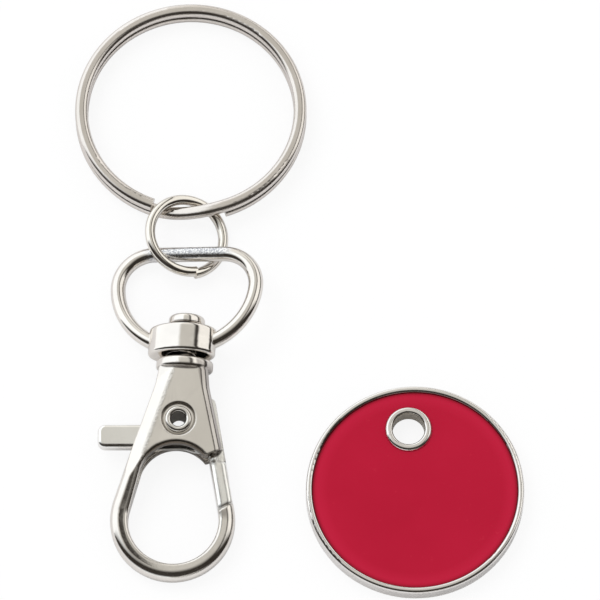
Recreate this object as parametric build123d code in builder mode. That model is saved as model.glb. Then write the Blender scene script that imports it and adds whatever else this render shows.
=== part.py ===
from build123d import *
from math import asin, atan2, cos, degrees, radians, sin, tan
import os

# Lengths are in millimetres and angles in degrees.
# The keyring lies on a table at z = 0. X runs across it, and y runs from the coin up to the split ring.

# Shared
overrun = 1.0
FULL_TURN = 360

# Hook casting, in its own frame: origin at the gate pivot, y along the hook towards the swivel
hook_lean = 3.7
loop_radius = 6.65
loop_east = 0.12
loop_south = 10.8
bar_width = 1.83
bar_thickness = 2.4
body_thickness = 3.9
neck_east = 0.14
neck_foot = 5.8
neck_width = 5.2
neck_start = 3.9
neck_end = 6.1
neck_round = 4.0
neck_end_round = 0.45
shoulder_width = 1.35
shoulder_slope = 24.0
taper_start = 4.6
taper_end = 10.4
taper_round = 4.0
opening_east = 0.2
opening_south = 10.85
arch_radius = 3.9
arch_east = 0.15
arch_crown = 2.62
outer_round = 0.95
inner_round = 0.4
nose_radius = 10.8
cheek_low = 3.68
cheek_rise = 27.0
cheek_east = 3.55

# Slot between the two cheeks of the casting
slot_height = 1.7
slot_wall = 0.8
slot_roof = 3.4
slot_foot = 6.9
tab_window_low = 3.7
tab_window_high = 2.5

# Swivel end of the casting
flange_east = 0.2
flange_width = 6.1
flange_thickness = 4.9
flange_length = 1.27
flange_start = 5.75
flange_round = 0.42
post_east = 0.1
post_diameter = 2.2
post_gap = 0.3
head_diameter = 3.9
head_length = 1.0
head_gap = 0.35
head_round = 0.5

# Swivel eye
collar_width = 7.3
collar_thickness = 4.6
collar_length = 3.23
collar_round = 0.38
swivel_play = 0.46
eye_sidestep = 0.33
eye_droop_angle = 3.5
eye_roll_angle = 10.75
eye_wire = 1.6
eye_reach = 10.465
eye_bar_half = 3.8
eye_corner = 3.78
eye_corner_sweep = 93.5
eye_foot_drop = 0.05

# Gate lever
lever_thickness = 1.55
lever_hub_radius = 2.5
gate_thickness = 2.4
gate_width = 1.72
gate_round = 0.5
gate_start = 4.25
gate_lean = 13.2
gate_east = 4.89
gate_level = 6.0
arm_top = 2.8
arm_foot = 3.4
arm_corner = 0.8
gate_gap = 0.1
tab_reach = 8.62
tab_width = 2.6
tab_drop = 1.57
tab_edge_round = 0.42
tab_end_round = 0.8
tab_root = 3.9
tab_run_in = 1.5
stop_radius = 0.42
stop_stand = 0.2
stop_place = (4.05, -4.02)

# Hollow rivet at the gate pivot
rivet_bore = 1.6
rivet_tube = 2.2
rivet_flange = 2.9
rivet_flange_height = 0.42
rivet_seat = 3.6
rivet_seat_depth = 0.3
rivet_roll = 0.31
rivet_gap = 0.03
pivot_play = 0.06

# Torsion spring round the rivet
spring_wire = 0.28
spring_radius = 1.5
spring_turns = 1.5
spring_turn_gap = 0.03
spring_lift = 0.28
spring_leg = 6.4
spring_leg_lean = 22.0
spring_tail = 1.3
spring_pocket_radius = 1.95
spring_pocket_depth = 0.92
pocket_spread = 3.7

# Jump ring
jump_diameter = 9.4
jump_wire = 1.1
jump_roll_angle = 18.6
jump_pitch_angle = 0.8
jump_joint_angle = 288.0
jump_joint_gap = 0.12
jump_end_step = 0.25
jump_tail_sweep = 60.0
bar_in_jump = 1.89
jump_west = 0.31
jump_drop = 0.21

# Split ring
ring_diameter = 25.2
ring_wire_width = 1.4
ring_wire_height = 1.2
ring_wire_round = 0.56
ring_coil_gap = 0.1
ring_top_end_angle = 250.0
ring_bottom_end_angle = 288.0
ring_in_jump = 1.52
ring_sidestep = 0.36
ring_lift = 0.68
ramp_sections = 7

# Trolley coin
coin_diameter = 23.25
coin_thickness = 2.2
coin_rim_width = 0.7
coin_rim_round = 0.33
coin_bead_round = 0.3
coin_recess = 0.65
coin_hole = 3.45
coin_hole_round = 0.28
coin_boss = 5.0
coin_boss_round = 0.36
coin_boss_gap = 1.595
coin_hole_turn = 5.4
coin_east = 25.2
coin_south = 7.33
enamel_thickness = 0.3
enamel_gap = 0.02


def turned(point, lean, pitch, roll):
    """A frame at a point: leant clockwise on the table, its far end pitched up, its right side rolled up."""
    place = Location(point) * Location((0, 0, 0), (0, 0, -lean))
    place = place * Location((0, 0, 0), (pitch, 0, 0)) * Location((0, 0, 0), (0, -roll, 0))
    return Plane(place)


def side_on(frame):
    """The plane of a frame's own y and z, through its origin."""
    return Plane(frame.origin, x_dir=frame.y_dir, z_dir=frame.x_dir)


def end_on(frame, east, north):
    """A plane square to a frame's own y, at a point on it."""
    return Plane(frame.from_local_coords((east, north, 0)), x_dir=frame.x_dir, z_dir=frame.y_dir)


def hook_outline(inset):
    """The hook's outline in plan, a loop drawn tight to a neck, moved in by an inset."""
    with BuildSketch() as outline:
        with Locations((loop_east, -loop_south)):
            Circle(loop_radius)
        with Locations((neck_east, neck_start)):
            Rectangle(neck_foot, neck_start, align=(Align.CENTER, Align.MAX))
        make_hull()
        with BuildLine():
            Polyline((neck_east - neck_foot / 2, neck_start), (neck_east - neck_width / 2, neck_end),
                     (neck_east + neck_width / 2, neck_end), (neck_east + neck_foot / 2, neck_start),
                     close=True)
        make_face()
        fillet(outline.vertices().filter_by_position(Axis.Y, neck_start / 2, (neck_start + neck_end) / 2),
               radius=neck_round)
        if inset > 0:
            offset(amount=-inset, kind=Kind.INTERSECTION)
    return outline.sketch


# Where the pieces lie: the chain of frames from the gate pivot to the split ring, in plan from the pivot
hook_pitch = degrees(atan2((body_thickness - bar_thickness) / 2,
                           loop_south + loop_radius - bar_width / 2 - taper_start))
hook_height = taper_start * sin(radians(hook_pitch)) + body_thickness / 2 * cos(radians(hook_pitch))
collar_start = flange_start + flange_length + post_gap
collar_middle = collar_start + collar_length / 2
loose_hook = turned((0, 0, hook_height), hook_lean, hook_pitch, 0)
eye_point = loose_hook.from_local_coords((post_east - eye_sidestep, collar_middle, 0))
loose_eye = turned(eye_point, hook_lean, -eye_droop_angle, eye_roll_angle)
bar_point = loose_eye.from_local_coords((0, eye_reach, 0))
jump_radius = (jump_diameter - jump_wire) / 2
jump_point = bar_point + Vector(-jump_west, jump_radius - bar_in_jump, -jump_drop)
ring_tilt = degrees(asin(ring_lift / ring_diameter))
ring_height = 2 * ring_wire_height + ring_coil_gap
ring_level = ring_height / 2 * cos(radians(ring_tilt)) + ring_diameter / 2 * sin(radians(ring_tilt))
ring_reach = jump_radius - ring_in_jump + (ring_diameter - ring_wire_width) / 2
ring_point = Vector(jump_point.X + ring_sidestep, jump_point.Y + ring_reach, ring_level)
coin_point = Vector(coin_east, -coin_south, 0)

# The origin is under the middle of everything
middle = Vector((ring_point.X - ring_diameter / 2 + coin_point.X + coin_diameter / 2) / 2,
                (ring_point.Y + ring_diameter / 2 + coin_point.Y - coin_diameter / 2) / 2, 0)
hook = turned(Vector(0, 0, hook_height) - middle, hook_lean, hook_pitch, 0)
eye = turned(eye_point - middle, hook_lean, -eye_droop_angle, eye_roll_angle)
jump = turned(jump_point - middle, 0, -jump_pitch_angle, -jump_roll_angle)
ring = turned(ring_point - middle, 0, -ring_tilt, 0)
coin = Plane(coin_point - middle)
across_hook = Axis(hook.origin, hook.x_dir)
along_hook = Axis(hook.origin, hook.y_dir)
through_hook = Axis(hook.origin, hook.z_dir)
os.makedirs("parts", exist_ok=True)

# Hook casting: a loop and two cheeks in one piece, thinner towards the loop
half_body = body_thickness / 2
half_bar = bar_thickness / 2
loop_end = loop_south + loop_radius + overrun
with BuildPart() as hook_body:
    with BuildSketch(hook.offset(-half_body)):
        add(hook_outline(0))
    extrude(amount=body_thickness)
    with BuildSketch(side_on(hook).offset(-loop_radius - overrun)) as taper:
        with BuildLine():
            Polyline((neck_end, half_body), (-taper_start, half_body), (-taper_end, half_bar),
                     (-loop_end, half_bar), (-loop_end, -half_bar), (-taper_end, -half_bar),
                     (-taper_start, -half_body), (neck_end, -half_body), close=True)
        make_face()
        fillet(taper.vertices().filter_by_position(Axis.X, -taper_end, -taper_start), radius=taper_round)
    extrude(amount=2 * (loop_radius + overrun), mode=Mode.INTERSECT)
    rims = hook_body.edges().filter_by(across_hook, reverse=True).filter_by(through_hook, reverse=True)
    fillet(rims, radius=outer_round)
    fillet(hook_body.faces().sort_by(along_hook)[-1].edges(), radius=neck_end_round)

    # The slope down the front of the left side, along the line that touches the neck and the loop
    neck_corner = Vector(neck_east - neck_foot / 2, neck_start)
    to_loop = Vector(loop_east, -loop_south) - neck_corner
    side_run = to_loop.normalized().rotate(Axis.Z, -degrees(asin(loop_radius / to_loop.length)))
    side_face = side_run.rotate(Axis.Z, -FULL_TURN / 4)
    slope_start = neck_corner - side_face * shoulder_width + Vector(0, 0, half_body)
    slope_face = side_face * sin(radians(shoulder_slope)) + Vector(0, 0, cos(radians(shoulder_slope)))
    with BuildSketch(Plane(hook.location * Location(Plane(slope_start, x_dir=side_run, z_dir=slope_face)))):
        with Locations((-neck_end, 0)):
            Rectangle(2 * loop_end, loop_radius, align=(Align.MIN, Align.MAX))
    extrude(amount=half_body, mode=Mode.SUBTRACT)
    with BuildSketch(hook.offset(-half_body - overrun)):
        with Locations((opening_east, -opening_south)):
            Circle(loop_radius - bar_width)
        with Locations((arch_east, -arch_crown - arch_radius)):
            Circle(arch_radius)
        make_hull()
    extrude(amount=body_thickness + 2 * overrun, mode=Mode.SUBTRACT)
    cut_edges = hook_body.edges(Select.LAST)
    cut_rims = hook_body.edges().filter_by(lambda edge: edge in cut_edges)
    cut_rims = cut_rims.filter_by(across_hook, reverse=True).filter_by(through_hook, reverse=True)
    fillet(cut_rims, radius=inner_round)

    # The gate's gap, from the cheeks' lower corner to the hook's nose
    corner_run = Vector(cos(radians(cheek_rise)), sin(radians(cheek_rise))) * loop_radius
    cheek_corner = Vector(cheek_east, -cheek_low)
    with BuildSketch(hook.offset(-half_body - overrun)):
        with BuildLine():
            Polyline(cheek_corner - corner_run, cheek_corner + corner_run,
                     (loop_end, -loop_end), ((cheek_corner - corner_run).X, -loop_end), close=True)
        make_face()
        Circle(nose_radius, mode=Mode.INTERSECT)
    extrude(amount=body_thickness + 2 * overrun, mode=Mode.SUBTRACT)

    # The slot between the cheeks, its window for the tab and its open side for the gate
    with BuildSketch(hook.offset(-slot_height / 2)):
        with Locations((0, slot_roof)):
            Rectangle(2 * loop_end, slot_roof + slot_foot, align=(Align.CENTER, Align.MAX))
        add(hook_outline(slot_wall), mode=Mode.INTERSECT)
        with Locations((0, -tab_window_low)):
            Rectangle(loop_end, tab_window_low + tab_window_high, align=(Align.MAX, Align.MIN))
        with Locations((0, slot_roof)):
            Rectangle(loop_end, slot_roof + slot_foot, align=(Align.MIN, Align.MAX))
    extrude(amount=slot_height, mode=Mode.SUBTRACT)

    # Hole and seats of the rivet
    with BuildSketch(hook.offset(-half_body - overrun)):
        Circle(rivet_tube / 2 + rivet_gap)
    extrude(amount=body_thickness + 2 * overrun, mode=Mode.SUBTRACT)
    for face_height in (half_body - rivet_seat_depth, -half_body - overrun):
        with BuildSketch(hook.offset(face_height)):
            Circle(rivet_seat / 2)
        extrude(amount=rivet_seat_depth + (overrun if face_height < 0 else 0), mode=Mode.SUBTRACT)

    # Flange, post and spread head of the swivel
    with BuildSketch(end_on(hook, flange_east, flange_start)):
        Ellipse(flange_width / 2, flange_thickness / 2)
    flange = extrude(amount=flange_length, mode=Mode.PRIVATE)
    add(flange.fillet(flange_round, flange.edges().filter_by(GeomType.ELLIPSE)))
    with BuildSketch(end_on(hook, post_east, flange_start + flange_length)):
        Circle(post_diameter / 2)
    extrude(amount=post_gap + collar_length + head_gap)
    with BuildSketch(end_on(hook, post_east, collar_start + collar_length + head_gap)):
        Circle(head_diameter / 2)
    extrude(amount=head_length)
    head_rim = hook_body.edges().filter_by(GeomType.CIRCLE).sort_by(along_hook)[-1]
    fillet(head_rim, radius=head_round)
hook_body.part.label = "hook_body"
export_step(hook_body.part, "parts/hook_body.step")

# Hollow rivet
rivet_end = half_body - rivet_seat_depth + rivet_flange_height
seat_level = half_body - rivet_seat_depth
with BuildPart() as pivot_rivet:
    with BuildSketch(side_on(hook)) as rivet_profile:
        with BuildLine():
            Polyline((rivet_bore / 2, -rivet_end), (rivet_flange / 2, -rivet_end),
                     (rivet_flange / 2, -seat_level), (rivet_tube / 2, -seat_level),
                     (rivet_tube / 2, seat_level), (rivet_flange / 2, seat_level),
                     (rivet_flange / 2, rivet_end), (rivet_bore / 2, rivet_end), close=True)
        make_face()
        rolled = rivet_profile.vertices().group_by(Axis.Y)
        fillet(rolled[0] + rolled[-1], radius=rivet_roll)
    revolve(axis=through_hook)
pivot_rivet.part.label = "pivot_rivet"
export_step(pivot_rivet.part, "parts/pivot_rivet.step")


def gate_edge(side, level):
    """A point on the gate bar's side, at a level below the pivot: side -1 is the loop's, 1 is outside."""
    east = gate_east + side * gate_width / 2 / cos(radians(gate_lean))
    return Vector(east + (level - gate_level) * tan(radians(gate_lean)), -level)


# Gate lever: hub, arm and tab in a plate, and the thicker gate bar
with BuildPart() as gate_lever:
    with BuildSketch(hook.offset(-lever_thickness / 2)) as plate:
        Circle(lever_hub_radius)
        with BuildLine():
            Polyline(gate_edge(1, -arm_top), gate_edge(1, arm_foot), gate_edge(-1, arm_foot),
                     gate_edge(-1, -arm_top), close=True)
        make_face()
        make_hull()
        fillet(plate.vertices().group_by(Axis.Y)[-1].sort_by(Axis.X)[-1], radius=arm_corner)
        with BuildLine():
            Polyline(gate_edge(1, 0), gate_edge(1, gate_start + gate_width),
                     gate_edge(-1, gate_start + gate_width), gate_edge(-1, 0), close=True)
        make_face()
        with Locations(Vector(-tab_reach, -tab_drop).rotate(Axis.Z, hook_lean)):
            Rectangle(tab_reach + tab_run_in, tab_width, rotation=hook_lean, align=(Align.MIN, Align.CENTER))
        fillet(plate.vertices().sort_by(Axis.X)[:2], radius=tab_end_round)
    extrude(amount=lever_thickness)

    # Rounded edges where the tab stands out of the casting
    tab_rims = gate_lever.edges().filter_by(through_hook, reverse=True).filter_by(
        lambda edge: hook.to_local_coords(edge @ 0.5).X < -tab_root)
    fillet(tab_rims, radius=tab_edge_round)
    with BuildSketch(hook.offset(-gate_thickness / 2)):
        with BuildLine():
            Polyline(gate_edge(1, gate_start), gate_edge(1, loop_end), gate_edge(-1, loop_end),
                     gate_edge(-1, gate_start), close=True)
        make_face()
        Circle(nose_radius - gate_gap, mode=Mode.INTERSECT)
    gate_bar = extrude(amount=gate_thickness, mode=Mode.PRIVATE)
    bar_rims = gate_bar.edges().filter_by(Axis(hook.origin, hook.from_local_coords(
        gate_edge(1, loop_end) - gate_edge(1, 0)) - hook.origin))
    add(gate_bar.fillet(gate_round, bar_rims))
    # The round stop beside the cheek's corner, the rivet's hole and the spring's pocket
    stop_level = gate_thickness / 2 + stop_stand - stop_radius
    with Locations(Location(hook.from_local_coords((*stop_place, stop_level)))):
        Sphere(stop_radius)
    with BuildSketch(hook.offset(-gate_thickness)):
        Circle(rivet_tube / 2 + pivot_play)
    extrude(amount=2 * gate_thickness, mode=Mode.SUBTRACT)
    with BuildSketch(hook.offset(lever_thickness / 2 - spring_pocket_depth)):
        Circle(spring_pocket_radius)
        with BuildLine():
            Polyline((-spring_pocket_radius, 0), (-pocket_spread, -lever_hub_radius - overrun),
                     (spring_pocket_radius, -lever_hub_radius - overrun), (spring_pocket_radius, 0),
                     close=True)
        make_face()
    extrude(amount=lever_thickness, mode=Mode.SUBTRACT)
gate_lever.part.label = "gate_lever"
export_step(gate_lever.part, "parts/gate_lever.step")

# Torsion spring: the leg that bears on the loop's left side, the coil and a short tail on the lever
spring_pitch = spring_wire + spring_turn_gap
coil_turns = spring_turns - spring_leg_lean / FULL_TURN
spring_level = lever_thickness / 2 - spring_pocket_depth + spring_lift
spring_place = hook.location * Location((0, 0, spring_level), (0, 0, FULL_TURN / 2 - spring_leg_lean))
with BuildLine() as spring_path:
    coil = Helix(spring_pitch, coil_turns * spring_pitch, spring_radius, lefthand=True)
    Line((coil @ 0) - (coil % 0) * spring_leg, coil @ 0)
    Line(coil @ 1, (coil @ 1) + (coil % 1) * spring_tail)
spring_route = spring_path.wire().moved(spring_place)
with BuildPart() as gate_spring:
    with BuildSketch(Plane(spring_route @ 0, z_dir=spring_route % 0)):
        Circle(spring_wire / 2)
    sweep(path=spring_route)
gate_spring.part.label = "gate_spring"
export_step(gate_spring.part, "parts/gate_spring.step")

# Swivel eye: an oval collar and a D-shaped wire loop in one casting
with BuildPart() as swivel_eye:
    with BuildSketch(end_on(eye, 0, -collar_length / 2)):
        Ellipse(collar_width / 2, collar_thickness / 2)
    extrude(amount=collar_length)
    fillet(swivel_eye.edges().filter_by(GeomType.ELLIPSE), radius=collar_round)
    with BuildLine(eye) as eye_path:
        bar = Line((0, eye_reach), (eye_bar_half, eye_reach))
        bend = CenterArc((eye_bar_half, eye_reach - eye_corner), eye_corner, 90, -eye_corner_sweep)
        foot = TangentArc(bend @ 1, ((collar_width - eye_wire) / 2, -eye_foot_drop), tangent=bend % 1)
    with BuildSketch(Plane(eye_path.line @ 0, z_dir=eye_path.line % 0)):
        Circle(eye_wire / 2)
    half_loop = sweep(path=eye_path.line)
    mirror(half_loop, about=Plane(eye.origin, x_dir=eye.y_dir, z_dir=eye.x_dir))
    with BuildSketch(end_on(eye, 0, -collar_length)):
        Circle(post_diameter / 2 + swivel_play)
    extrude(amount=2 * collar_length, mode=Mode.SUBTRACT)
swivel_eye.part.label = "swivel_eye"
export_step(swivel_eye.part, "parts/swivel_eye.step")

# Jump ring: one turn of round wire, its joint a little open and its last stretch sprung outwards
tail_radius = jump_radius + jump_end_step / (1 - cos(radians(jump_tail_sweep)))
tail_start = jump_joint_angle + jump_tail_sweep
tail_shift = jump_radius - tail_radius
tail_middle = (tail_shift * cos(radians(tail_start)), tail_shift * sin(radians(tail_start)))
jump_sweep = FULL_TURN - jump_tail_sweep - degrees(jump_joint_gap / jump_radius)
with BuildPart() as jump_ring:
    with BuildLine(jump) as jump_path:
        CenterArc((0, 0), jump_radius, tail_start, jump_sweep)
        CenterArc(tail_middle, tail_radius, tail_start, -jump_tail_sweep)
    with BuildSketch(Plane(jump_path.line @ 0, z_dir=jump_path.line % 0)):
        Circle(jump_wire / 2)
    sweep(path=jump_path.line)
jump_ring.part.label = "jump_ring"
export_step(jump_ring.part, "parts/jump_ring.step")

# Split ring: a lower turn, the crossover and an upper turn of flattened wire
ramp_sweep = ring_bottom_end_angle - ring_top_end_angle
coil_rise = ring_wire_height + ring_coil_gap


def ring_section(angle, rise):
    """The wire's section at an angle round the split ring, centred at a rise above its middle."""
    spoke = Vector(cos(radians(angle)), sin(radians(angle)))
    centre = spoke * (ring_diameter - ring_wire_width) / 2 + Vector(0, 0, rise)
    plane = Plane(ring.from_local_coords(centre), x_dir=ring.from_local_coords(spoke) - ring.origin,
                  z_dir=ring.from_local_coords(Vector(-spoke.Y, spoke.X)) - ring.origin)
    with BuildSketch(plane) as section:
        RectangleRounded(ring_wire_width, ring_wire_height, ring_wire_round)
    return section.sketch


ring_axis = Axis(ring.origin, ring.z_dir)
with BuildPart() as split_ring:
    for level in (-coil_rise / 2, coil_rise / 2):
        lower_end = ring_section(ring_bottom_end_angle, level)
        revolve(lower_end, axis=ring_axis, revolution_arc=FULL_TURN - ramp_sweep)
    ramp = []
    for step in range(ramp_sections):
        share = step / (ramp_sections - 1)
        rise = coil_rise * (share * share * (3 - 2 * share) - 0.5)
        ramp.append(ring_section(ring_top_end_angle + ramp_sweep * share, rise))
    loft(ramp)
split_ring.part.label = "split_ring"
export_step(split_ring.part, "parts/split_ring.step")

# Trolley coin: rimmed on both faces, with a raised eyelet round its hole
hole_reach = coin_diameter / 2 - coin_rim_width - coin_boss_gap - coin_boss / 2
hole_east = -hole_reach * sin(radians(coin_hole_turn))
hole_north = hole_reach * cos(radians(coin_hole_turn))


def circles_of(body, radius):
    """A body's round edges of one radius, grouped by height."""
    rounds = body.edges().filter_by(GeomType.CIRCLE)
    return rounds.filter_by(lambda edge: abs(edge.radius - radius) < enamel_gap).group_by(Axis.Z)


with BuildPart() as coin_blank:
    with BuildSketch(coin):
        Circle(coin_diameter / 2)
    extrude(amount=coin_thickness)
    fillet(coin_blank.edges().filter_by(GeomType.CIRCLE), radius=coin_rim_round)
    for level in (-overrun, coin_thickness - coin_recess):
        with BuildSketch(coin.offset(level)):
            Circle(coin_diameter / 2 - coin_rim_width)
            with Locations((hole_east, hole_north)):
                Circle(coin_boss / 2, mode=Mode.SUBTRACT)
        extrude(amount=coin_recess + overrun, mode=Mode.SUBTRACT)
    boss_rims = circles_of(coin_blank, coin_boss / 2)
    fillet(boss_rims[0] + boss_rims[-1], radius=coin_boss_round)
    fillet(circles_of(coin_blank, coin_diameter / 2 - coin_rim_width)[-1], radius=coin_bead_round)
    with BuildSketch(coin):
        with Locations((hole_east, hole_north)):
            Circle(coin_hole / 2)
    extrude(amount=coin_thickness, mode=Mode.SUBTRACT)
    hole_rims = circles_of(coin_blank, coin_hole / 2)
    fillet(hole_rims[0] + hole_rims[-1], radius=coin_hole_round)
coin_blank.part.label = "coin_blank"
export_step(coin_blank.part, "parts/coin_blank.step")


def enamel(name, level):
    """A skin of enamel in one face's recess, from a level upwards."""
    with BuildPart() as skin:
        with BuildSketch(coin.offset(level)):
            Circle(coin_diameter / 2 - coin_rim_width - enamel_gap)
            with Locations((hole_east, hole_north)):
                Circle(coin_boss / 2 + enamel_gap, mode=Mode.SUBTRACT)
        extrude(amount=enamel_thickness)
    skin.part.label = name
    export_step(skin.part, f"parts/{name}.step")


enamel("coin_enamel_front", coin_thickness - coin_recess)
enamel("coin_enamel_back", coin_recess - enamel_thickness)
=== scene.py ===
import math

import bpy
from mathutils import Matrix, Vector

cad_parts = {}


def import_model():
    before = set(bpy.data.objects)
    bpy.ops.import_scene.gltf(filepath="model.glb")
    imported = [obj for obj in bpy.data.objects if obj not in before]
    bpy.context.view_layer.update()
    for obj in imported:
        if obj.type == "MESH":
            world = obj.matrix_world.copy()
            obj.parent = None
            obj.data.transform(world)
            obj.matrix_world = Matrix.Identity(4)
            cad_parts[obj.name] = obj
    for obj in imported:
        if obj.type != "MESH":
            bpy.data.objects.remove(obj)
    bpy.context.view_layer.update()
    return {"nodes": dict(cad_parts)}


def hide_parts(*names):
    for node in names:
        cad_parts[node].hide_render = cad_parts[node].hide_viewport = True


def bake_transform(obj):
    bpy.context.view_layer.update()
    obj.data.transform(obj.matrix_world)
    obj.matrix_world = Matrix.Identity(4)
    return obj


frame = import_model()
nodes = frame["nodes"]

MM = 0.001
WHITE = (1, 1, 1)

# Camera, fitted to the photograph
CAMERA_TARGET = Vector((0.31, 0.02, 0.0)) * MM
CAMERA_DISTANCE = 650 * MM
CAMERA_ELEVATION = 69.5
CAMERA_CLIP = (0.01, 10.0)
FOCAL_PIXELS = 6019
PHOTO_PIXELS = 600
SENSOR_WIDTH = 36.0

# The soft box behind and to the left, and the dark flag over the left of the hook's loop
KEY_PLACE = Vector((-0.35, 0.25, 0.60))
KEY_SIDE = 0.45
KEY_POWER = 1.6
FLAG_SIZE = (8.0 * MM, 12.5 * MM)
FLAG_PLACE = Vector((-21.0, -20.5, 40.0)) * MM
FLAG_TINT = (0.05, 0.045, 0.04)

# The white table, which glows to the camera so that it comes out as white paper
FLOOR_SIZE = (2.4, 2.4)
FLOOR_DROP = 0.02 * MM
FLOOR_TINT = (0.86, 0.86, 0.86)
FLOOR_GLOW = 1.03
FLOOR_GLOW_SHARE = 0.84

# The studio as the metal mirrors it. A panel lies between two angles, in degrees from straight up towards the
# right ("side") or the back ("back"). Then come the softness of its edges and its tint.
ROOM = (0.80, 0.80, 0.81)
OVERHEAD = (0.67, 0.66, 0.62)
PANELS = (
    ("back", 40, 200, 3, (0.95, 0.94, 0.90)),
    ("side", -200, -20, 3, (1.25, 1.30, 1.33)),
    ("side", 16, 28, 3, (0.05, 0.045, 0.04)),
    ("side", 28, 74, 3, (1.11, 1.10, 1.06)),
    ("side", 74, 200, 3, (0.05, 0.045, 0.04)),
    ("back", -78, -4, 12, (0.035, 0.03, 0.025)),
)

# Noises: cycles to the metre, detail and roughness
CLOUDS = (260, 3, 0.6)
FINE_GRAIN = (2600, 3, 0.7)
CASTING_WAVES = (180, 2, 0.5)
CASTING_DISTORTION = 0.6
SCUFF_GRAIN = (4200, 3, 0.75)
PITS = (5200, 2, 0.8)
STREAKS = (1500, 2, 0.6)
STREAK_STRETCH = (1, 0.1, 0.6)
ENAMEL_CLOUDS = (70, 3, 0.6)
ENAMEL_SPECKS = (1500, 2, 0.6)
ENAMEL_WAVES = (110, 2, 0.5)

# Metals: the light and the dark tint that their clouds go between
NICKEL = ((0.84, 0.80, 0.75), (0.76, 0.72, 0.68))
LEVER_NICKEL = ((0.95, 0.93, 0.89), (0.88, 0.86, 0.82))
RIVET_NICKEL = ((0.83, 0.80, 0.76), (0.75, 0.72, 0.68))
WIRE_NICKEL = ((0.86, 0.82, 0.76), (0.78, 0.74, 0.68))
FLAT_WIRE_NICKEL = ((0.77, 0.72, 0.68), (0.70, 0.655, 0.61))
SPRING_STEEL = ((0.55, 0.53, 0.50), (0.46, 0.44, 0.41))
COIN_STEEL = ((0.86, 0.83, 0.80), (0.80, 0.77, 0.74))

# Wear of the plating: where the noises turn into tint and polish, and how much brighter a worn edge is
CLOUD_TINT = (0.35, 0.7)
CLOUD_POLISH = (0.3, 0.7)
POLISH_SHARES = (0.8, 1.25)
GRAIN_POLISH = (0.45, 0.8)
GRAIN_ROUGHNESS = 0.06
WEAR = (0.49, 0.56)
WEAR_SHARE = 0.35
WEAR_BRIGHTER_SHARE = 1.12
BEVEL_SAMPLES = 8
SCUFF_DEPTH = 0.12 * MM

# Plated pieces: the material's name and metal, its roughness, the depths of its waves and its grain, and the
# radius to which its edges look polished
PLATINGS = {
    "hook_body": ("nickel_casting", NICKEL, 0.11, 0.010 * MM, 0.0012 * MM, 0.35 * MM),
    "swivel_eye": ("nickel_eye", NICKEL, 0.09, 0.012 * MM, 0.0014 * MM, 0.15 * MM),
    "gate_lever": ("nickel_lever", LEVER_NICKEL, 0.13, 0.008 * MM, 0.0014 * MM, 0.2 * MM),
    "pivot_rivet": ("nickel_rivet", RIVET_NICKEL, 0.12, 0.006 * MM, 0.0012 * MM, 0.0),
    "gate_spring": ("spring_steel", SPRING_STEEL, 0.24, 0.002 * MM, 0.0008 * MM, 0.0),
    "jump_ring": ("nickel_wire", WIRE_NICKEL, 0.10, 0.004 * MM, 0.0012 * MM, 0.0),
    "split_ring": ("nickel_flat_wire", FLAT_WIRE_NICKEL, 0.17, 0.004 * MM, 0.0012 * MM, 0.0),
    "coin_blank": ("coin_steel", COIN_STEEL, 0.12, 0.002 * MM, 0.0004 * MM, 0.08 * MM),
}

# Painted shade on the casting, and its worn shoulder line: the shade's tints, and the distances in plan from
# the rivet over which they come and go, all round it or along a direction in degrees from the right
# Painted shade down the side of the right cheek, in streaks
SIDE_SHADE_TINT = (0.40, 0.37, 0.35)
SIDE_ANGLE = 11.4
SIDE_START = (3.0 * MM, 3.2 * MM)
SIDE_END = (6.6 * MM, 7.2 * MM)
STREAK_SPREAD = (0.35, 0.65)
STREAK_SHARE = 0.55
# Painted shade over the right half of the casting's front
RIGHT_HALF_SHADE_TINT = (0.74, 0.70, 0.65)
WARM_ANGLE = -12.0
WARM_START = (-0.5 * MM, 3.0 * MM)
WARM_END = (5.5 * MM, 7.0 * MM)
WARM_SHARE = 0.55
# Painted shade on the arch's inner wall, where it mirrors the shadowed table
ARCH_SHADE_TINT = (0.15, 0.12, 0.09)
ARCH_FACING = (0.3, 0.6)
ARCH_END = (5.4 * MM, 6.8 * MM)
ARCH_SHARE = 0.95
SHOULDER_ANGLE = 161.0
SHOULDER_START = (1.95 * MM, 2.25 * MM)
SHOULDER_STOP = (2.4 * MM, 2.7 * MM)
SHOULDER_END = (5.0 * MM, 6.4 * MM)
# Painted shade in the corner of the rivet's seat
SEAT_SHADE_TINT = (0.22, 0.19, 0.15)
SEAT_RADII = (1.6 * MM, 1.84 * MM)
SEAT_SHARE = 0.75

# The gate's bar starts at a distance from the rivet, and its edges look rounder than the tab's
BAR_ANGLE = -60.0
BAR_START = (3.0 * MM, 4.5 * MM)
BAR_ROUNDER = 0.5 * MM

# The pitted, slightly blue bar of the swivel eye
EYE_BAR_DROP = 1.0 * MM
EYE_BAR_HALF_LENGTH = 5.0 * MM
EYE_BAR_HALF_WIDTH = 0.8 * MM
EYE_BAR_FADE_SHARES = (0.7, 0.6)
PIT_TINTS = ((0.42, 0.43, 0.48), WHITE)
PIT_SPREAD = (0.44, 0.57)
PIT_TINT_SHARE = 0.85
PIT_ROUGHNESS = 0.15
PIT_DEPTH = 0.02 * MM

# Of the coin's corners, only its eyelet's lie within this distance of its centre
EYELET_REACH = 10 * MM

# Painted shade on the coin: radii from its centre, or from the centre of its hole
RING_SOFTNESS = 0.04 * MM
# Painted shade in the groove round the enamel
GROOVE_SHADE_TINT = (0.10, 0.035, 0.035)
GROOVE_RADII = (10.8 * MM, 11.04 * MM)
GROOVE_SHARE = 0.8
# Painted shade inside the coin's hole
HOLE_SHADE_TINT = (0.42, 0.36, 0.27)
HOLE_RADII = (0.0, 1.78 * MM)
HOLE_SHARE = 0.75

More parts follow.
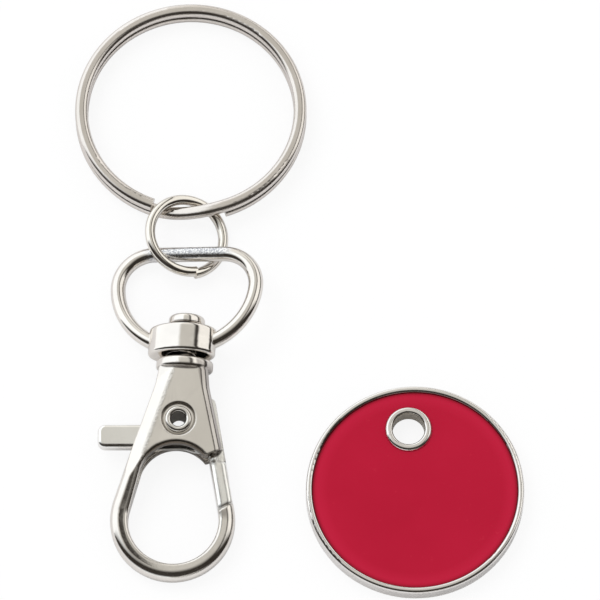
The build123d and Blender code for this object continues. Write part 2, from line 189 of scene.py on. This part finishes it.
# Red enamel: its tints, the parts of its noises that turn into them, and distances from the coin's centre
ENAMEL_TINTS = ((0.455, 0.0048, 0.0300), (0.490, 0.0062, 0.0350))
ENAMEL_SPREAD = (0.35, 0.65)
SPECK_TINT = (0.60, 0.03, 0.06)
SPECK_SPREAD = (0.68, 0.76)
SPECK_SHARE = 0.25
PALE_TINT = (0.58, 0.013, 0.052)
PALE_START = (9.3 * MM, 10.3 * MM)
PALE_END = (10.4 * MM, 10.8 * MM)
PALE_SHARE = 0.5
# Painted shade in the enamel where it meets the rim
RIM_SHADE_TINT = (0.20, 0.003, 0.012)
RIM_SHADE_START = (10.62 * MM, 10.9 * MM)
RIM_SHADE_SHARE = 0.6
ENAMEL_POLISH = (0.16, 0.22)
ENAMEL_SPECULAR = 0.05
COAT_ROUGHNESS = 0.03
COAT_INDEX = 1.2
ENAMEL_WAVE_DEPTH = 0.012 * MM


def middle(points):
    """The middle of the box round some points."""
    return Vector([(min(along) + max(along)) / 2 for along in zip(*points)])


def corners_of(name):
    """The corners of a CAD node's mesh, in the frame's coordinates."""
    return [vertex.co.copy() for vertex in nodes[name].data.vertices]


COIN_CENTRE = middle(corners_of("coin_blank"))
COIN_HOLE = middle([p for p in corners_of("coin_blank") if (p - COIN_CENTRE).xy.length < EYELET_REACH])
RIVET_CENTRE = middle(corners_of("pivot_rivet"))
EYE_BAR_X = middle(corners_of("swivel_eye")).x
EYE_BAR_Y = max(p.y for p in corners_of("swivel_eye")) - EYE_BAR_DROP


def put(obj):
    """An object put into the scene."""
    bpy.context.scene.collection.objects.link(obj)
    return obj


def opaque(tint):
    """A tint as the four numbers that a colour's socket takes."""
    return (*tint, 1)


class Graph:
    """The node tree of a material or a world, with short ways to add and join its nodes."""

    def __init__(self, owner):
        owner.use_nodes = True
        self.tree = owner.node_tree
        self.tree.nodes.clear()

    def node(self, kind, inputs=None, **settings):
        """A new node with its settings and its inputs."""
        made = self.tree.nodes.new(kind)
        for name, setting in settings.items():
            setattr(made, name, setting)
        self.feed(made, inputs or {})
        return made

    def feed(self, node, inputs):
        """Values, or other nodes' outputs, put on a node's inputs."""
        for socket, value in inputs.items():
            if hasattr(value, "links"):
                self.tree.links.new(value, node.inputs[socket])
            else:
                node.inputs[socket].default_value = value

    def math(self, operation, a, b=0.0):
        """A sum, a product or another result of one value or two."""
        return self.node("ShaderNodeMath", {0: a, 1: b}, operation=operation).outputs[0]

    def product(self, first, *others):
        """Some values multiplied together."""
        for other in others:
            first = self.math("MULTIPLY", first, other)
        return first

    def vector(self, operation, a, b, output="Vector"):
        """A sum, a product or another result of two vectors."""
        return self.node("ShaderNodeVectorMath", {0: a, 1: b}, operation=operation).outputs[output]

    def remap(self, value, low, high, out_low, out_high):
        """From one value to another as a value goes from low to high."""
        limits = {0: value, 1: low, 2: high, 3: out_low, 4: out_high}
        return self.node("ShaderNodeMapRange", limits).outputs[0]

    def rise(self, value, band, top=1.0):
        """From nothing to the top over a band of values."""
        return self.remap(value, *band, 0.0, top)

    def fall(self, value, band, top=1.0):
        """From the top to nothing over a band of values."""
        return self.remap(value, *band, top, 0.0)

    def mix(self, share, a, b):
        """One colour mixed into another, each a tint or another node's output."""
        a, b = (opaque(colour) if isinstance(colour, tuple) else colour for colour in (a, b))
        return self.node("ShaderNodeMix", {0: share, 6: a, 7: b}, data_type="RGBA").outputs[2]

    def choose(self, share, a, b):
        """One shader mixed into another."""
        return self.node("ShaderNodeMixShader", {0: share, 1: a.outputs[0], 2: b.outputs[0]})

    def coordinates(self, kind="Object"):
        """The frame's coordinates in metres, or the normal, or the direction of a ray."""
        return self.node("ShaderNodeTexCoord").outputs[kind]

    def noise(self, scale, detail, roughness, stretch=(1, 1, 1), distortion=0.0):
        """Noise in the frame's coordinates, finer along an axis that is stretched more."""
        inputs = {"Vector": self.vector("MULTIPLY", self.coordinates(), stretch), "Scale": scale,
                  "Detail": detail, "Roughness": roughness, "Distortion": distortion}
        return self.node("ShaderNodeTexNoise", inputs).outputs["Fac"]

    def bump(self, height, depth, strength=1.0, under=None):
        """A normal with a relief on it, over another normal if one is given."""
        inputs = {"Height": height, "Distance": depth, "Strength": strength}
        if under is not None:
            inputs["Normal"] = under
        return self.node("ShaderNodeBump", inputs).outputs[0]

    def distance(self, point):
        """Distance in plan from a point."""
        apart = self.vector("SUBTRACT", self.coordinates(), point)
        return self.vector("LENGTH", self.vector("MULTIPLY", apart, (1, 1, 0)), (0, 0, 0), "Value")

    def along(self, point, degrees):
        """Distance in plan from a point along a direction."""
        turn = math.radians(degrees)
        apart = self.vector("SUBTRACT", self.coordinates(), point)
        return self.vector("DOT_PRODUCT", apart, (math.cos(turn), math.sin(turn), 0), "Value")

    def ring(self, point, inner, outer):
        """One between two radii round a point in plan."""
        reach = self.distance(point)
        outside = self.rise(reach, (inner - RING_SOFTNESS, inner + RING_SOFTNESS))
        return self.product(outside, self.fall(reach, (outer - RING_SOFTNESS, outer + RING_SOFTNESS)))


def material(name):
    """A new material with its graph and its shader."""
    made = bpy.data.materials.new(name)
    g = Graph(made)
    shader = g.node("ShaderNodeBsdfPrincipled")
    g.node("ShaderNodeOutputMaterial", {0: shader.outputs[0]})
    return made, g, shader


def plated(name, metal, rough, waves, grain, edge, rounder=None, scuff=None, pitted=None, painted_shades=()):
    """Nickel plate: a warm metal, a little cloudy, with soft waves from the casting and fine wear.

    Rounder is the place where its edges look rounder, with how much. Scuff is where its grain is coarse,
    pitted where it is pitted and blue, and the last argument lists the places of painted shade, each with its
    tint.
    """
    made, g, shader = material(name)
    light, dark = metal
    cloud = g.noise(*CLOUDS)
    fine = g.noise(*FINE_GRAIN)
    worn = g.rise(g.node("ShaderNodeNewGeometry").outputs["Pointiness"], WEAR)
    bright = tuple(min(1.0, part * WEAR_BRIGHTER_SHARE) for part in light)
    tint = g.mix(g.rise(cloud, CLOUD_TINT), dark, light)
    tint = g.mix(g.product(worn, WEAR_SHARE), tint, bright)
    polish = g.remap(cloud, *CLOUD_POLISH, *(rough * share for share in POLISH_SHARES))
    polish = g.math("ADD", polish, g.rise(fine, GRAIN_POLISH, GRAIN_ROUGHNESS))
    under = None
    if rounder:
        place, more = rounder
        edge = g.math("ADD", edge, g.product(place(g), more))
    if edge:
        under = g.node("ShaderNodeBevel", {"Radius": edge}, samples=BEVEL_SAMPLES).outputs[0]
    if scuff:
        under = g.bump(g.noise(*SCUFF_GRAIN), SCUFF_DEPTH, scuff(g), under)
    # Painted shade: each place mixes its darker tint into the colour
    for place, shade_tint in painted_shades:
        tint = g.mix(place(g), tint, shade_tint)
    if pitted:
        near = pitted(g)
        pits = g.noise(*PITS)
        tint = g.mix(g.product(near, PIT_TINT_SHARE), tint, g.mix(g.rise(pits, PIT_SPREAD), *PIT_TINTS))
        polish = g.math("ADD", polish, g.product(near, PIT_ROUGHNESS))
        under = g.bump(pits, PIT_DEPTH, near, under)
    relief = g.bump(g.noise(*CASTING_WAVES, distortion=CASTING_DISTORTION), waves, under=under)
    normal = g.bump(fine, grain, under=relief)
    g.feed(shader, {"Metallic": 1.0, "Base Color": tint, "Roughness": polish, "Normal": normal})
    return made


def enamel():
    """Red enamel: darker where it meets the rim, which is painted shade, paler just inside it, glossy all
    over.
    """
    made, g, shader = material("red_enamel")
    cloud = g.noise(*ENAMEL_CLOUDS)
    tint = g.mix(g.rise(cloud, ENAMEL_SPREAD), *ENAMEL_TINTS)
    tint = g.mix(g.rise(g.noise(*ENAMEL_SPECKS), SPECK_SPREAD, SPECK_SHARE), tint, SPECK_TINT)
    reach = g.distance(COIN_CENTRE)
    paler = g.product(g.rise(reach, PALE_START, PALE_SHARE), g.fall(reach, PALE_END))
    tint = g.mix(paler, tint, PALE_TINT)
    tint = g.mix(g.rise(reach, RIM_SHADE_START, RIM_SHADE_SHARE), tint, RIM_SHADE_TINT)
    polish = g.remap(cloud, *CLOUD_POLISH, *ENAMEL_POLISH)
    waves = g.bump(g.noise(*ENAMEL_WAVES), ENAMEL_WAVE_DEPTH)
    g.feed(shader, {"Base Color": tint, "Roughness": polish, "Specular IOR Level": ENAMEL_SPECULAR,
                    "Coat Weight": 1.0, "Coat Roughness": COAT_ROUGHNESS, "Coat IOR": COAT_INDEX,
                    "Normal": waves})
    return made


def side_shade_streaks(g):
    """Painted shade on the side of the casting's right cheek, broken into drawn streaks."""
    side = g.rise(g.along(RIVET_CENTRE, SIDE_ANGLE), SIDE_START)
    lines = g.remap(g.noise(*STREAKS, STREAK_STRETCH), *STREAK_SPREAD, STREAK_SHARE, 1.0)
    return g.product(side, g.fall(g.distance(RIVET_CENTRE), SIDE_END), lines)


def right_half_shade(g):
    """Painted shade: the right half of the casting's front, a little darker and browner."""
    side = g.rise(g.along(RIVET_CENTRE, WARM_ANGLE), WARM_START)
    return g.product(side, g.fall(g.distance(RIVET_CENTRE), WARM_END, WARM_SHARE))


def arch_wall_shade(g):
    """Painted shade on the inner wall of the arch under the rivet, which faces the loop."""
    facing = g.vector("DOT_PRODUCT", g.coordinates("Normal"), (0, -1, 0), "Value")
    return g.product(g.rise(facing, ARCH_FACING), g.fall(g.distance(RIVET_CENTRE), ARCH_END, ARCH_SHARE))


def shoulder_line(g):
    """The worn line between the casting's flat front and the slope down its left side."""
    left = g.along(RIVET_CENTRE, SHOULDER_ANGLE)
    line = g.product(g.rise(left, SHOULDER_START), g.fall(left, SHOULDER_STOP))
    return g.product(line, g.fall(g.distance(RIVET_CENTRE), SHOULDER_END))


def seat_shade(g):
    """Painted shade in the corner of the seat round the rivet."""
    return g.product(g.ring(RIVET_CENTRE, *SEAT_RADII), SEAT_SHARE)


def gate_bar(g):
    """The lever's bar, whose front is rounder than its tab's."""
    return g.rise(g.along(RIVET_CENTRE, BAR_ANGLE), BAR_START)


def eye_bar(g):
    """The middle of the swivel eye's bar."""
    where = g.node("ShaderNodeSeparateXYZ", {0: g.coordinates()})
    length_fade, width_fade = EYE_BAR_FADE_SHARES
    across = g.math("ABSOLUTE", g.math("SUBTRACT", where.outputs["X"], EYE_BAR_X))
    along = g.math("ABSOLUTE", g.math("SUBTRACT", where.outputs["Y"], EYE_BAR_Y))
    return g.product(g.fall(across, (EYE_BAR_HALF_LENGTH * length_fade, EYE_BAR_HALF_LENGTH)),
                     g.fall(along, (EYE_BAR_HALF_WIDTH * width_fade, EYE_BAR_HALF_WIDTH)))


def rim_groove_shade(g):
    """Painted shade: a dark line where the enamel meets the coin's rim."""
    return g.product(g.ring(COIN_CENTRE, *GROOVE_RADII), GROOVE_SHARE)


def hole_shade(g):
    """Painted shade on the wall of the coin's hole, darker than its eyelet."""
    return g.product(g.ring(COIN_HOLE, *HOLE_RADII), HOLE_SHARE)


# The tinted places on the casting and the coin are painted shade
PLACES = {
    "hook_body": {"scuff": shoulder_line,
                  "painted_shades": ((right_half_shade, RIGHT_HALF_SHADE_TINT), (arch_wall_shade, ARCH_SHADE_TINT), (side_shade_streaks, SIDE_SHADE_TINT),
                             (seat_shade, SEAT_SHADE_TINT))},
    "swivel_eye": {"pitted": eye_bar},
    "gate_lever": {"rounder": (gate_bar, BAR_ROUNDER)},
    "coin_blank": {"painted_shades": ((rim_groove_shade, GROOVE_SHADE_TINT), (hole_shade, HOLE_SHADE_TINT))},
}


def dress_nodes():
    """A material for every CAD node."""
    looks = {name: plated(*finish, **PLACES.get(name, {})) for name, finish in PLATINGS.items()}
    looks["coin_enamel_front"] = looks["coin_enamel_back"] = enamel()
    for name, look in looks.items():
        mesh = nodes[name].data
        mesh.materials.clear()
        mesh.materials.append(look)


def winding_spring():
    """The spring, put in the scene in place of the CAD node, which is hidden.

    It is a copy of the CAD node's mesh, with the material that dress_nodes gave it.
    """
    spring = put(bpy.data.objects.new("spring_wire", nodes["gate_spring"].data.copy()))
    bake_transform(spring)
    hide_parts("gate_spring")


def stage_sheet(name, size, place):
    """A level rectangle of the set, with its material's graph."""
    x, y = size[0] / 2, size[1] / 2
    mesh = bpy.data.meshes.new(name)
    mesh.from_pydata([(-x, -y, 0), (x, -y, 0), (x, y, 0), (-x, y, 0)], [], [(0, 1, 2, 3)])
    obj = put(bpy.data.objects.new(name, mesh))
    obj.location = place
    made = bpy.data.materials.new(name)
    mesh.materials.append(made)
    return obj, Graph(made)


def floor():
    """The white table: paper to the light, and mostly a plain glow to the camera."""
    obj, g = stage_sheet("floor", FLOOR_SIZE, (0, 0, -FLOOR_DROP))
    paper = g.node("ShaderNodeBsdfDiffuse", {"Color": opaque(FLOOR_TINT)})
    glow = g.node("ShaderNodeEmission", {"Color": opaque(WHITE), "Strength": FLOOR_GLOW})
    seen = g.product(g.node("ShaderNodeLightPath").outputs["Is Camera Ray"], FLOOR_GLOW_SHARE)
    g.node("ShaderNodeOutputMaterial", {0: g.choose(seen, paper, glow).outputs[0]})


def flag():
    """A dark flag over the loop's left side, which only reflections see."""
    obj, g = stage_sheet("flag_left", FLAG_SIZE, FLAG_PLACE)
    dark = g.node("ShaderNodeEmission", {"Color": opaque(FLAG_TINT), "Strength": 1.0})
    g.node("ShaderNodeOutputMaterial", {0: dark.outputs[0]})
    obj.visible_camera = False
    obj.visible_diffuse = False
    obj.visible_shadow = False


def world():
    """White to the camera, plain to diffuse light, and a studio of panels and dark gaps to reflections."""
    made = bpy.data.worlds.new("studio")
    bpy.context.scene.world = made
    g = Graph(made)
    right, back, up = g.node("ShaderNodeSeparateXYZ", {0: g.coordinates("Generated")}).outputs
    angles = {"side": g.math("DEGREES", g.math("ARCTAN2", right, up)),
              "back": g.math("DEGREES", g.math("ARCTAN2", back, up))}
    look = OVERHEAD
    for way, low, high, soft, tint in PANELS:
        starts = g.rise(angles[way], (low - soft, low + soft))
        look = g.mix(g.product(starts, g.fall(angles[way], (high - soft, high + soft))), look, tint)
    studio = g.node("ShaderNodeBackground", {"Color": look})
    room = g.node("ShaderNodeBackground", {"Color": opaque(ROOM)})
    white = g.node("ShaderNodeBackground", {"Color": opaque(WHITE)})
    path = g.node("ShaderNodeLightPath")
    around = g.choose(path.outputs["Is Glossy Ray"], room, studio)
    seen = g.choose(path.outputs["Is Camera Ray"], around, white)
    g.node("ShaderNodeOutputWorld", {0: seen.outputs[0]})


def key_light():
    """A square soft box that lights the table but isn't mirrored."""
    data = bpy.data.lights.new("key_softbox", "AREA")
    data.shape = "RECTANGLE"
    data.size = KEY_SIDE
    data.size_y = KEY_SIDE
    data.energy = KEY_POWER
    lamp = put(bpy.data.objects.new("key_softbox", data))
    lamp.location = KEY_PLACE
    lamp.rotation_mode = "QUATERNION"
    lamp.rotation_quaternion = (-KEY_PLACE).to_track_quat("-Z", "Y")
    lamp.visible_glossy = False


def aim_camera():
    """The photograph's camera, straight in front of the target and looking down at it."""
    lens = bpy.data.cameras.new("camera")
    lens.sensor_width = SENSOR_WIDTH
    lens.lens = FOCAL_PIXELS / PHOTO_PIXELS * SENSOR_WIDTH
    lens.clip_start, lens.clip_end = CAMERA_CLIP
    camera = put(bpy.data.objects.new("camera", lens))
    lift = math.radians(CAMERA_ELEVATION)
    back = Vector((0, -math.cos(lift), math.sin(lift)))
    camera.location = CAMERA_TARGET + back * CAMERA_DISTANCE
    camera.rotation_mode = "QUATERNION"
    camera.rotation_quaternion = (-back).to_track_quat("-Z", "Y")
    bpy.context.scene.camera = camera


dress_nodes()
winding_spring()
floor()
world()
key_light()
flag()
aim_camera()
bpy.context.scene.view_settings.view_transform = "Standard"
